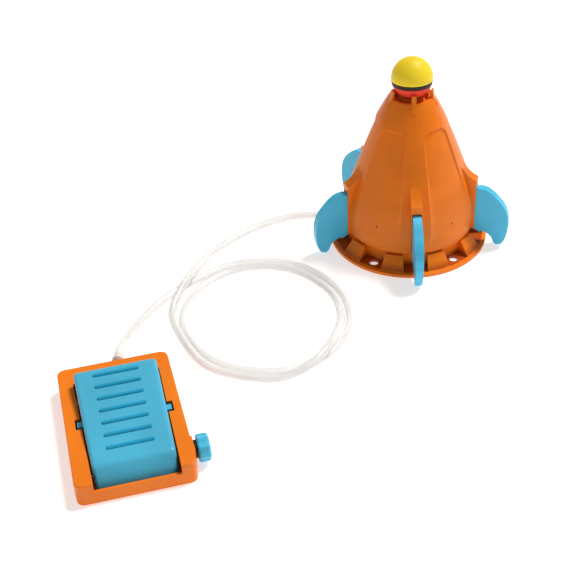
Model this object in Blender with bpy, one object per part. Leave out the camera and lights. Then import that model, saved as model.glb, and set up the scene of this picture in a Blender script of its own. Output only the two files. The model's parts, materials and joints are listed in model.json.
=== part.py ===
"""Air-powered ball launcher: a rocket-shaped launcher, a foot pump and the clear hose between them.

Sizes are in millimetres and degrees; the meshes are built in metres, +Z up. The launcher stands on the
origin with one fin towards -Y. The pump has its own frame: X across it, Y from its hinge to its hose end.
"""
import math

import bmesh
import bpy
from mathutils import Matrix, Vector

MM = 0.001
GAP = 0.3                 # clearance between pieces that touch
WALL = 2.3                # moulded wall of the large shells

# Launcher: base
SIDES = 5                 # fins, ridges and panels round the rocket
BASE_R = 80.0
RIM_H = 3.3               # flat rim, and the floor of the pockets
RIM_W = 3.6               # width of the flat rim outside the ramps
DECK_R = 67.0             # outer edge of the raised deck
DECK_H = 16.5
BASE_WALL = 2.4
POCKET_W = 24.0
POCKET_IN_R = 62.0
POCKET_OUT_R = BASE_R - 4.0
STAKE_R = 67.6            # ring of the stake holes
STAKE_HOLE_R = 4.7
BOSS_RING_R = 57.3        # ring of the screws that hold the shell to the base
BOSS_R = 4.2

# Launcher: shell, as (height, radius) of the ridges
SHELL_Z0 = 18.5
SHELL_TOP = 159.5
SHOULDER_Z = 136.0        # where the flank meets the steeper nose
PANEL_Z0 = 27.0           # where the recessed panels run out into the skirt
RIDGE_HALF = 13.0         # half of a ridge, degrees
PANEL_STEP = 1.7          # degrees that a panel's side wall takes
RIDGE_LINE = [(18.5, 65.2), (33.5, 67.0), (45, 66.6), (56, 64.7), (67, 61.1), (78, 56.9),
              (96, 50.2), (117, 42.0), (136, 33.9), (142, 31.0), (148, 27.9), (154, 24.6),
              (159.5, 20.8)]
PANEL_DEPTH = [(26, 0.0), (37, 3.3), (45, 4.0), (56, 4.0), (78, 3.5), (96, 2.7), (117, 2.2), (136, 1.6)]
PANEL_STEP_DEPTH = 1.6    # step at a panel's side; the rest of its depth is there because it is nearly flat
NOSE_HOLE_R = 18.5
VENT_Z = 43.0
VENT_R = 1.0

# Launcher: fins and their sockets
FIN_T = 8.2
FIN_TIP_T = 6.6
SOCKET_T = 11.0
SOCKET_R = 68.4
SOCKET_Z1 = 74.3
CHANNEL = [(64.3, 17.0), (64.3, 52.0), (61.4, 66.9), (76.0, 66.9), (76.0, 17.0)]
FIN_TOP = 65.0
FIN_BOTTOM = 17.2
FIN_EDGE = [(69.0, 65.4), (80.3, 63.2), (92.6, 52.4), (99.6, 41.5), (102.2, 29.0), (101.7, 17.0),
            (99.3, 7.0), (95.4, 1.7), (91.8, 1.2), (88.6, 3.8), (86.0, 9.6), (81.0, 13.9), (74.8, 16.0)]

# Launcher: ball, fingers and air path
BALL_R = 20.0
BALL_Z = 177.4
BALL_WALL = 1.6
BAND_TOP = -2.6           # heights on the ball, from its centre
BAND_BOTTOM = -6.2
FINGER_W = 4.5
FINGER_R0 = 19.0
FINGER_R1 = 21.0
FINGER_TOP = 167.8
RISER_R = 5.0
BORE_R = 3.0
CUP_FLOOR = 150.0
SEAT_R = 9.8
INLET_AZ = -108.0         # direction of the air inlet, from -Y towards +X
INLET_Z = 8.7
INLET_TIP_R = BASE_R + 2
INLET_R = 4.6

# Pump: frame and housing
PUMP_X, PUMP_Y, PUMP_TURN = -285.52, -208.1, 12.9     # middle of the wall that the hose leaves
PUMP_FAR_Y = 71.3
PUMP_NEAR_Y = -73.9
PUMP_NEAR_W = 98.8        # width at the hinge end
PUMP_FAR_W = 98.4         # width at the hose end
PUMP_Z0 = 1.0
PUMP_Z1 = 22.0
PUMP_CORNER = 6.5
PLATE_T = 2.2
NOTCH_Z = 13.3            # lower edge of the gap in the front wall
VALVE_BOSS_X = PUMP_FAR_W / 2 + 1.4
VALVE_BOSS_Y = (-61.0, -40.0)

# Pump: pedal and hinge
PEDAL_X = 1.0             # the pedal sits a little off the centre line
PEDAL_NEAR_HALF = 34.0
PEDAL_FAR_HALF = 36.2
PEDAL_FAR_Y = 48.0
PEDAL_WALL = 2.4
PEDAL_CLEAR = 1.4
HINGE_Y = -60.0
HINGE_Z = 16.5
PIN_R = 2.0
PEDAL_EDGE = [(48, 20.6), (48, 33.2), (47.2, 35.2), (45.0, 36.2), (-54.4, 25.9), (-57.2, 24.9),
              (-59.2, 22.9), (-65.6, 13.4), (-67.2, 8.0), (-56.0, 8.0), (-46.0, 14.5)]
PEDAL_TOP_EDGES = 8       # the first edges of that outline, which run over the top
RIBS = 7
RIB_PITCH = 13.5
RIB_FIRST_Y = 39.0
RIB_L = 40.0
RIB_W = 3.4
RIB_H = 1.4
TAB_Y = -2.2
TAB_OUT = 4.6
TAB_TOP = 21.4

# Pump: bellows, spring, valves and fittings
BELLOWS_Y = -2.0
BELLOWS_R = 25.0
BELLOWS_FOLD = 3.4
BELLOWS_FOLDS = 3
BELLOWS_Z0 = 13.9
BELLOWS_Z1 = 24.6
BELLOWS_WALL = 1.0
CHAMBER_R = 22.6
CHAMBER_WALL = 2.6
SPRING_R = 14.0
SPRING_WIRE = 0.8
SPRING_TURNS = 4.5
FLAP_Y = -8.0
KNOB_Y = -50.0
KNOB_Z = 13.7
KNOB_R = 11.8
KNOB_T = 10.4
KNOB_LOBES = 8
KNOB_DIP = 0.75
STEM_R = 2.4
WASHER_R = 7.6
WASHER_T = 1.8
NEEDLE_TAIL_X = 39.0
OUTLET_X = 5.6
OUTLET_Z = 9.0
DUCT_Z = 6.6              # the duct runs low, so that the pedal's far wall clears it
DUCT_R = 3.0
DUCT_END_Y = 49.7
OUTLET_TIP = 11.0         # how far the barb stands out of the wall
FOOT_R = 6.0
FOOT_INSET = 12.0
PLATE_SCREW_X = 42.0
PLATE_SCREW_Y = 30.0

# Pump: bleed tube from the chamber to the screw valve
BLEED_R = 1.7
BLEED_ROUTE = [(22.1, -16.2, 6.8), (31, -24, 6.0), (39, -38, 5.6), (42.5, -48, 5.2), (43, -50, 8.0)]

# Hose
HOSE_R = 3.85
HOSE_ROUTE = [            # pump, first turn, second turn, then over the first strand to the launcher
    (-282.8, -194.8, 8.9), (-284.9, -183.0, 7.4), (-276.3, -150.8, 4.2), (-250.3, -103.7, 4.1),
    (-219.3, -73.6, 4.1), (-183.9, -49.8, 4.1), (-149.2, -45.3, 4.1), (-112.0, -57.0, 4.1),
    (-78.2, -96.0, 4.1), (-68.9, -133.4, 4.1), (-72.7, -163.4, 4.1), (-92.7, -192.6, 4.1),
    (-117.1, -208.5, 4.1), (-144.0, -214.5, 4.1), (-184.7, -203.5, 4.1), (-205.3, -186.2, 4.1),
    (-220.0, -161.8, 4.1), (-227.6, -136.8, 4.1), (-224.0, -108.0, 4.1), (-211.5, -82.0, 4.1),
    (-180.8, -57.7, 4.1), (-149.0, -53.8, 4.1), (-115.5, -65.0, 4.1), (-85.4, -100.5, 4.1),
    (-77.4, -134.1, 4.2), (-80.8, -160.9, 9.2), (-92.7, -192.6, 12.6), (-113.6, -216.2, 9.2),
    (-143.5, -223.0, 4.2), (-188.9, -210.9, 4.1), (-212.0, -191.5, 4.1), (-236.1, -136.5, 4.6),
    (-236.6, -113.0, 8.6), (-227.3, -88.0, 12.8), (-219.8, -71.0, 12.2), (-209.8, -43.5, 7.4),
    (-194.2, -17.6, 4.5), (-158.3, 14.7, 4.5), (-118.0, 28.9, 6.5), (-79.1, 25.5, 8.7),
]
HOSE_POINTS = 78


# ---------------------------------------------------------------- helpers
def clear_scene():
    for obj in list(bpy.data.objects):
        bpy.data.objects.remove(obj, do_unlink=True)


def linear(channel):
    return channel / 12.92 if channel <= 0.04045 else ((channel + 0.055) / 1.055) ** 2.4


def material(name, colour, roughness, metallic=0.0, transmission=0.0):
    """A Principled material; the colour is an sRGB hex string."""
    mat = bpy.data.materials.new(name)
    mat.use_nodes = True
    shader = mat.node_tree.nodes["Principled BSDF"]
    rgb = [linear(int(colour[i:i + 2], 16) / 255) for i in (0, 2, 4)]
    shader.inputs["Base Color"].default_value = (*rgb, 1.0)
    shader.inputs["Roughness"].default_value = roughness
    shader.inputs["Metallic"].default_value = metallic
    shader.inputs["Transmission Weight"].default_value = transmission
    return mat


def interpolate(line, x):
    """Value at x on a line of (x, value) points."""
    if x <= line[0][0]:
        return line[0][1]
    for (x0, v0), (x1, v1) in zip(line, line[1:]):
        if x <= x1:
            return v0 + (v1 - v0) * (x - x0) / (x1 - x0)
    return line[-1][1]


def smooth_curve(points, steps):
    """Catmull-Rom points through the given ones, with the ends kept."""
    pts = [Vector(p) for p in points]
    pts = [2 * pts[0] - pts[1]] + pts + [2 * pts[-1] - pts[-2]]
    out = []
    for a, b, c, d in zip(pts, pts[1:], pts[2:], pts[3:]):
        for k in range(steps):
            t = k / steps
            out.append(0.5 * (2 * b + (c - a) * t + (2 * a - 5 * b + 4 * c - d) * t ** 2
                              + (3 * b - a - 3 * c + d) * t ** 3))
    return out + [pts[-2]]


def resample(points, count):
    """The same path with evenly spaced points."""
    lengths = [0.0]
    for a, b in zip(points, points[1:]):
        lengths.append(lengths[-1] + (b - a).length)
    out, k = [], 0
    for i in range(count):
        s = lengths[-1] * i / (count - 1)
        while k < len(points) - 2 and lengths[k + 1] < s:
            k += 1
        span = lengths[k + 1] - lengths[k]
        out.append(points[k].lerp(points[k + 1], (s - lengths[k]) / span))
    return out


def polar(r, azimuth, z=0.0):
    """A point at a radius and an azimuth that runs from -Y towards +X."""
    a = math.radians(azimuth)
    return Vector((r * math.sin(a), -r * math.cos(a), z))


def bridge(bm, a, b):
    """Faces between two rings; a ring of one vertex is a point on the axis."""
    if len(a) == 1 and len(b) == 1:
        return
    n = max(len(a), len(b))
    for i in range(n):
        j = (i + 1) % n
        corners = [a[i % len(a)], a[j % len(a)], b[j % len(b)], b[i % len(b)]]
        bm.faces.new(list(dict.fromkeys(corners)))


def turned(profile, segments=48):
    """A closed body from an (r, z) outline turned about Z. A flat end on the axis is one face."""
    bm = bmesh.new()
    rings = []
    for r, z in profile:
        radii = [(r * math.cos(a), r * math.sin(a)) for a in ring_angles(segments)]
        rings.append([bm.verts.new((x, y, z)) for x, y in (radii if r > 1e-6 else radii[:1])])
    pairs = list(zip(profile, rings))
    for (end_a, a), (end_b, b) in zip(pairs, pairs[1:] + pairs[:1]):
        flat = abs(end_a[1] - end_b[1]) < 1e-6
        if flat and min(len(a), len(b)) == 1:
            bm.faces.new(max(a, b, key=len))
        else:
            bridge(bm, a, b)
    bmesh.ops.delete(bm, geom=[v for v in bm.verts if not v.link_faces], context="VERTS")
    return bm


def ring_angles(segments):
    return [2 * math.pi * k / segments for k in range(segments)]


def block(lo, hi):
    bm = bmesh.new()
    bmesh.ops.create_cube(bm, size=1.0)
    size = Vector(hi) - Vector(lo)
    centre = (Vector(hi) + Vector(lo)) / 2
    bmesh.ops.scale(bm, vec=size, verts=bm.verts)
    bmesh.ops.translate(bm, vec=centre, verts=bm.verts)
    return bm


def prism(outline, low, high):
    """An outline in X and Y, extruded from low to high along Z."""
    bm = bmesh.new()
    bottom = [bm.verts.new((x, y, low)) for x, y in outline]
    top = [bm.verts.new((x, y, high)) for x, y in outline]
    bm.faces.new(bottom[::-1])
    bm.faces.new(top)
    bridge(bm, bottom, top)
    return bm


def plate_in_plane(outline, thickness):
    """An outline in radius and height, as a plate in the XZ plane, centred on Y = 0."""
    bm = prism(outline, -thickness / 2, thickness / 2)
    bm.transform(Matrix.Rotation(math.radians(90), 4, "X"))
    return bm


def rod(radius, length, segments=24, bore=0.0):
    """A rod or, with a bore, a tube, along Z from 0."""
    return turned([(bore, 0), (radius, 0), (radius, length), (bore, length)], segments)


def along_x(bm, start):
    """Turns a body made along Z so that it runs along +X from a point."""
    bm.transform(Matrix.Translation(Vector(start)) @ Matrix.Rotation(math.radians(90), 4, "Y"))
    return bm


def along_y(bm, start):
    bm.transform(Matrix.Translation(Vector(start)) @ Matrix.Rotation(math.radians(-90), 4, "X"))
    return bm


def moved(bm, offset):
    bmesh.ops.translate(bm, vec=Vector(offset), verts=bm.verts)
    return bm


def to_azimuth(bm, azimuth):
    """Turns a body made along +X so that it faces an azimuth."""
    bm.transform(Matrix.Rotation(math.radians(azimuth - 90), 4, "Z"))
    return bm


def joined(parts):
    """Several bodies in one mesh, for one Boolean."""
    whole = bmesh.new()
    for bm in parts:
        mesh = bpy.data.meshes.new("part")
        bmesh.ops.recalc_face_normals(bm, faces=bm.faces)
        bm.to_mesh(mesh)
        bm.free()
        whole.from_mesh(mesh)
        bpy.data.meshes.remove(mesh)
    return whole


def to_object(name, bm):
    bmesh.ops.recalc_face_normals(bm, faces=bm.faces)
    if bm.calc_volume(signed=True) < 0:
        bmesh.ops.reverse_faces(bm, faces=bm.faces)
    bmesh.ops.scale(bm, vec=(MM, MM, MM), verts=bm.verts)
    mesh = bpy.data.meshes.new(name)
    bm.to_mesh(mesh)
    bm.free()
    obj = bpy.data.objects.new(name, mesh)
    bpy.context.scene.collection.objects.link(obj)
    return obj


def tidied(mesh):
    """Merges the doubled points and drops the edges without length that a cut can leave."""
    bm = bmesh.new()
    bm.from_mesh(mesh)
    bmesh.ops.remove_doubles(bm, verts=bm.verts, dist=2e-6)
    bmesh.ops.dissolve_degenerate(bm, edges=bm.edges, dist=1e-6)
    bm.to_mesh(mesh)
    bm.free()
    return mesh


def to_bmesh(obj):
    """Takes an object's mesh back in millimetres and removes the object."""
    bm = bmesh.new()
    bm.from_mesh(obj.data)
    bmesh.ops.scale(bm, vec=(1 / MM,) * 3, verts=bm.verts)
    bpy.data.objects.remove(obj, do_unlink=True)
    return bm


def boolean(obj, operation, *tools):
    """Applies one Boolean for each tool body and removes the tool."""
    for tool in tools:
        cutter = to_object("cutter", tool)
        mod = obj.modifiers.new("cut", "BOOLEAN")
        mod.operation = operation
        mod.object = cutter
        mod.solver = "EXACT"
        graph = bpy.context.evaluated_depsgraph_get()
        mesh = bpy.data.meshes.new_from_object(obj.evaluated_get(graph))
        obj.modifiers.clear()
        obj.data = tidied(mesh)
        bpy.data.objects.remove(cutter, do_unlink=True)


def finish(obj, mat, parent=None, origin=(0, 0, 0)):
    """Sets the origin, the material, the shading and the parent."""
    shift = Vector(origin) * MM
    obj.data.transform(Matrix.Translation(-shift))
    obj.location = shift
    obj.parent = parent
    obj.data.materials.clear()
    obj.data.materials.append(mat)
    obj.data.shade_smooth()
    obj.data.set_sharp_from_angle(angle=math.radians(35))
    return obj


def piece(name, bm, mat, parent=None, origin=(0, 0, 0)):
    return finish(to_object(name, bm), mat, parent, origin)


def wire_curve(name, points, radius, mat, parent=None, resolution=2):
    """A round wire or hose along the given points."""
    curve = bpy.data.curves.new(name, "CURVE")
    curve.dimensions = "3D"
    curve.bevel_depth = radius * MM
    curve.bevel_resolution = resolution
    curve.use_fill_caps = True
    spline = curve.splines.new("POLY")
    spline.points.add(len(points) - 1)
    for slot, p in zip(spline.points, points):
        slot.co = (p[0] * MM, p[1] * MM, p[2] * MM, 1.0)
    curve.materials.append(mat)
    obj = bpy.data.objects.new(name, curve)
    obj.parent = parent
    bpy.context.scene.collection.objects.link(obj)
    return obj


def azimuths(first=0.0, count=SIDES):
    return [first + 360.0 * k / count for k in range(count)]


# ---------------------------------------------------------------- launcher
def ridge_radius(z):
    return interpolate(RIDGE_LINE, z)


def panel_radius(z, from_middle=0.0):
    """Radius on a panel; from_middle is 0 at its middle and 1 at its sides."""
    depth = interpolate(PANEL_DEPTH, z)
    side = min(depth, PANEL_STEP_DEPTH)
    return ridge_radius(z) - side - (depth - side) * (1 - from_middle ** 2)


def panel_top(from_middle):
    """Height of a panel's upper edge, which drops at its corners."""
    return SHOULDER_Z - 0.8 - 5.0 * from_middle ** 6


def shell_rows(azimuth_in_sector):
    """(radius, height) up the outside of the shell at an angle from a ridge's middle."""
    middle = 180.0 / SIDES
    share = min(1.0, max(0.0, (middle - azimuth_in_sector) / (middle - RIDGE_HALF - PANEL_STEP)))
    in_panel = azimuth_in_sector >= RIDGE_HALF + PANEL_STEP - 0.01
    top = panel_top(share)
    rows = [(ridge_radius(z), z) for z in (SHELL_Z0, PANEL_Z0)]
    for z in (32.0, 37.0, VENT_Z + 2.0, 56.0, 67.0, 78.0, 87.0, 96.0, 106.5, 117.0, top - 1.4):
        rows.append((panel_radius(z, share) if in_panel else ridge_radius(z), z))
    return rows + [(ridge_radius(z), z) for z in (top, SHOULDER_Z + 0.6, 142.0, 148.0, 154.0, SHELL_TOP)]


def rocket_shell(mat):
    middle = 180.0 / SIDES
    edge = RIDGE_HALF + PANEL_STEP
    half = [0.0, 6.5, RIDGE_HALF, edge, edge + 5, edge + 11, edge + 16, middle]
    offsets = [-a for a in half[:0:-1]][1:] + half
    inner = [(panel_radius(max(z, 45)) - WALL - 0.03 * max(0, z - 45), z) for z in (117.0, 78.0, 56.0)]
    inner += [(panel_radius(45) - WALL, z) for z in (40.0, SHELL_Z0)]
    inner = [(NOSE_HOLE_R, SHELL_TOP), (NOSE_HOLE_R, 157.0), (31.3, SHOULDER_Z - 1.0)] + inner
    bm = bmesh.new()
    columns = []
    for k in range(SIDES):
        for offset in offsets:
            azimuth = 360.0 / SIDES * k + offset
            line = shell_rows(abs(offset)) + inner
            columns.append([bm.verts.new(polar(r, azimuth, z)) for r, z in line])
    for a, b in zip(columns, columns[1:] + columns[:1]):
        bridge(bm, a, b)
    shell = to_object("rocket_shell", bm)

    socket = [(50.6, 92.0), (54.6, 86.0), (58.8, 80.6), (63.4, 76.6), (SOCKET_R - 0.8, SOCKET_Z1 + 0.2),
              (SOCKET_R, SOCKET_Z1 - 0.8), (SOCKET_R, SHELL_Z0 + 0.4), (63.0, SHELL_Z0 + 0.4),
              (62.6, 45.0), (59.4, 60.0), (53.6, 78.0)]
    finger = [(FINGER_R0, 157.9), (FINGER_R0, FINGER_TOP - 0.6), (FINGER_R0 + 0.6, FINGER_TOP),
              (FINGER_R1 - 0.8, FINGER_TOP), (FINGER_R1, FINGER_TOP - 1.2), (FINGER_R1 + 0.7, 159.0),
              (26.2, 152.5), (22.6, 152.5)]
    sockets = [to_azimuth(plate_in_plane(socket, SOCKET_T), a) for a in azimuths()]
    fingers = [to_azimuth(plate_in_plane(finger, FINGER_W), a) for a in azimuths()]
    bosses = [moved(rod(BOSS_R, 26.0, 16), polar(BOSS_RING_R, a, DECK_H + GAP)) for a in azimuths(18.0)]
    boolean(shell, "UNION", joined(sockets + fingers), joined(bosses))

    slots = [to_azimuth(plate_in_plane(CHANNEL, FIN_T + 2 * GAP), a) for a in azimuths()]
    vents = [to_azimuth(along_x(rod(VENT_R, 10.0, 8), (58.0, 0, VENT_Z)), a) for a in azimuths(middle)]
    pilots = [moved(rod(1.8, 20.0, 8), polar(BOSS_RING_R, a, DECK_H - 1.0)) for a in azimuths(18.0)]
    boolean(shell, "DIFFERENCE", joined(slots), joined(vents + pilots))
    return finish(shell, mat)


def fin(name, azimuth, mat):
    """A fin whose inner edge stands in its socket's channel; it is thinner at the tip."""
    edge = [(p.x, p.y) for p in smooth_curve([(r, z, 0) for r, z in FIN_EDGE], 2)]
    deep = CHANNEL[0][0] + GAP
    inner = [(deep, FIN_BOTTOM), (deep, CHANNEL[1][1]), (CHANNEL[2][0] + 1.4, FIN_TOP)]
    body = plate_in_plane(edge + inner, FIN_T)
    sides = [f for f in body.faces if abs(f.normal.y) > 0.9]
    rim = [e for f in sides for e in f.edges if max(v.co.x for v in e.verts) > SOCKET_R]
    bmesh.ops.bevel(body, geom=rim, offset=1.7, segments=2, profile=0.5, affect="EDGES")
    for v in body.verts:
        share = min(1.0, max(0.0, (FIN_BOTTOM + 20 - v.co.z) / 36)) if v.co.x > SOCKET_R else 0.0
        v.co.y *= 1 - share * (1 - FIN_TIP_T / FIN_T)
    return piece(name, to_azimuth(body, azimuth), mat)


def launcher_base(mat):
    ramp_r = BASE_R - RIM_W
    outside = [(0, 0), (BASE_R, 0), (BASE_R, RIM_H), (ramp_r, RIM_H), (DECK_R, DECK_H), (0, DECK_H)]
    base = to_object("launcher_base", turned(outside, 120))
    pockets = azimuths(0.0, 2 * SIDES)
    half = POCKET_W / 2

    bore = RISER_R + 1.2 + GAP
    hub = bore + 2.2
    roof = DECK_H - BASE_WALL
    under = [(hub, -1), (ramp_r - 2, -1), (ramp_r - 2, 1.9), (DECK_R - 1.2, roof), (hub, roof)]
    hollow = to_object("hollow", turned(under, 120))
    boolean(hollow, "DIFFERENCE",
            joined([sector_box(POCKET_IN_R - BASE_WALL, BASE_R + 9, half + BASE_WALL, -3, 20, a) for a in pockets]))
    floor = RIM_H - 0.3
    pocket = [sector_box(POCKET_IN_R, POCKET_OUT_R, half, floor, DECK_H + 5, a) for a in pockets]
    boolean(base, "DIFFERENCE", to_bmesh(hollow), joined(pocket))
    stakes = [moved(rod(STAKE_HOLE_R, 8, 20), polar(STAKE_R, a, -2)) for a in azimuths(180.0 / SIDES)]
    screws = [moved(rod(1.8, 8, 8), polar(BOSS_RING_R, a, 11)) for a in azimuths(18.0)]
    inlet = [to_azimuth(along_x(rod(INLET_R + GAP, 28, 18), (x, 0, INLET_Z)), INLET_AZ)
             for x in (1, POCKET_IN_R - 22)]
    boolean(base, "DIFFERENCE", joined(inlet), joined(stakes + screws), moved(rod(bore, DECK_H + 6), (0, 0, -3)))
    return finish(base, mat)


def sector_box(lo_r, hi_r, half, z0, z1, azimuth):
    """A box that reaches from one radius to another at an azimuth."""
    return to_azimuth(block((lo_r, -half, z0), (hi_r, half, z1)), azimuth)


def screw(x, y, z, head_r=3.0, head_h=1.8, shank_r=1.5, length=9.0):
    """A pan-head screw pointing up, with its head's underside at z."""
    profile = [(0, z - head_h), (head_r * 0.75, z - head_h), (head_r, z - head_h * 0.5), (head_r, z),
               (shank_r, z), (shank_r, z + length), (0, z + length)]
    return moved(turned(profile, 12), (x, y, 0))


def base_screws(mat):
    seat = DECK_H - BASE_WALL - GAP
    for k, azimuth in enumerate(azimuths(18.0), 1):
        spot = polar(BOSS_RING_R, azimuth)
        piece("base_screw_%d" % k, screw(spot.x, spot.y, seat), mat)


def ball_zone(low, high, segments=40, steps=6):
    """The part of the hollow ball between two heights, as an (r, z) outline."""
    def arc(radius, a, b):
        lo, hi = (math.asin(max(-1, min(1, h / radius))) for h in (a, b))
        pts = [(lo + (hi - lo) * i / steps) for i in range(steps + 1)]
        return [(max(0.0, radius * math.cos(t)), radius * math.sin(t)) for t in pts]

    outer = arc(BALL_R, low, high)
    inner_r = BALL_R - BALL_WALL
    inner = arc(inner_r, max(low, -inner_r), min(high, inner_r))
    profile = [(r, z) for r, z in outer + inner[::-1]]
    clean = []
    for r, z in profile:
        r = 0.0 if r < 0.01 else r
        if not clean or abs(r - clean[-1][0]) + abs(z - clean[-1][1]) > 0.01:
            clean.append((r, z))
    return turned([(r, z + BALL_Z) for r, z in clean], segments)


def ball(yellow, black, red):
    """Two half shells and the band that joins them; the ball rests on the nozzle and lifts off it."""
    origin = (0, 0, BALL_Z)
    piece("ball_upper", ball_zone(BAND_TOP + GAP / 2, BALL_R), yellow, origin=origin)
    piece("ball_band", ball_zone(BAND_BOTTOM + GAP / 2, BAND_TOP - GAP / 2, steps=2), black, origin=origin)
    piece("ball_lower", ball_zone(-BALL_R, BAND_BOTTOM - GAP / 2), red, origin=origin)


def launcher_air_path(orange, white, rubber):
    """Cup and nozzle under the ball, the riser, the elbow and the inlet barb."""
    rest = math.sqrt(BALL_R ** 2 - SEAT_R ** 2)
    seat_z = BALL_Z - rest - GAP
    cup_r = NOSE_HOLE_R - GAP
    cup = [(BORE_R, CUP_FLOOR - 2), (RISER_R + 2.2, CUP_FLOOR - 2), (RISER_R + 2.2, CUP_FLOOR - 1.6),
           (cup_r, CUP_FLOOR + 1), (cup_r, 158.6), (cup_r - 1.8, 158.6), (cup_r - 2.2, CUP_FLOOR + 3),
           (SEAT_R + 1.9, CUP_FLOOR + 3), (SEAT_R + 1.9, seat_z - 0.6), (SEAT_R + 0.4, seat_z),
           (SEAT_R - 0.4, seat_z - 0.6), (BORE_R, seat_z - 5)]
    piece("ball_cup", turned(cup, 40), orange)

    top = CUP_FLOOR - 2 - GAP
    seal = [(RISER_R + GAP, top - 3), (RISER_R + 2, top - 3), (RISER_R + 2, top), (RISER_R + GAP, top)]
    piece("nozzle_seal", turned(seal, 24), rubber)
    riser_z0 = 24.0 + GAP
    piece("riser_tube", moved(rod(RISER_R, top - riser_z0, 24, BORE_R), (0, 0, riser_z0)), white)

    elbow = [(0, 0), (RISER_R + 1.2, 0), (RISER_R + 1.2, 24.0), (BORE_R, 24.0), (BORE_R, 4.4), (0, 4.4)]
    body = to_object("air_elbow", turned(elbow, 24))
    port = to_azimuth(along_x(rod(RISER_R - 0.6, 12, 20), (0.5, 0, INLET_Z)), INLET_AZ)
    boolean(body, "DIFFERENCE", port)
    finish(body, white)

    start, tip = RISER_R + 1.2 + GAP, INLET_TIP_R
    barb = [(BORE_R - 0.6, 0), (INLET_R, 0), (INLET_R, 66 - start), (3.4, 66 - start)]
    for k in range(3):
        s = tip - start - 12 + 4 * k
        barb += [(3.4, s), (4.0, s + 0.1), (3.4, s + 3.4)]
    barb += [(3.2, tip - start), (BORE_R - 0.6, tip - start)]
    piece("inlet_barb", to_azimuth(along_x(turned(barb, 20), (start, 0, INLET_Z)), INLET_AZ), white)


# ---------------------------------------------------------------- pump
def half_width(y):
    """Half of the housing's width at a distance along the pump."""
    share = (y - PUMP_NEAR_Y) / (PUMP_FAR_Y - PUMP_NEAR_Y)
    return (PUMP_NEAR_W + (PUMP_FAR_W - PUMP_NEAR_W) * share) / 2


def pedal_half(y):
    near, far = PUMP_NEAR_Y, PEDAL_FAR_Y
    return PEDAL_NEAR_HALF + (PEDAL_FAR_HALF - PEDAL_NEAR_HALF) * (y - near) / (far - near)


def pedal_slope():
    (y0, z0), (y1, z1) = PEDAL_EDGE[3], PEDAL_EDGE[4]
    return (z0 - z1) / (y0 - y1)


def pedal_top(y):
    """Height of the pedal's upper face."""
    return PEDAL_EDGE[3][1] + pedal_slope() * (y - PEDAL_EDGE[3][0])


def rounded_quad(near_y, far_y, near_half, far_half, radius, steps=3):
    """A plan outline with round corners, widening from near_y to far_y."""
    corners = [(-near_half, near_y, 180), (near_half, near_y, 270), (far_half, far_y, 0), (-far_half, far_y, 90)]
    points = []
    for x, y, start in corners:
        cx = x - math.copysign(radius, x)
        cy = y - math.copysign(radius, y - (near_y + far_y) / 2)
        for k in range(steps + 1):
            a = math.radians(start + 90 * k / steps)
            points.append((cx + radius * math.cos(a), cy + radius * math.sin(a)))
    return points


def pump_outline(inset, radius):
    return rounded_quad(PUMP_NEAR_Y + inset, PUMP_FAR_Y - inset, PUMP_NEAR_W / 2 - inset,
                        PUMP_FAR_W / 2 - inset, radius)


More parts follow.
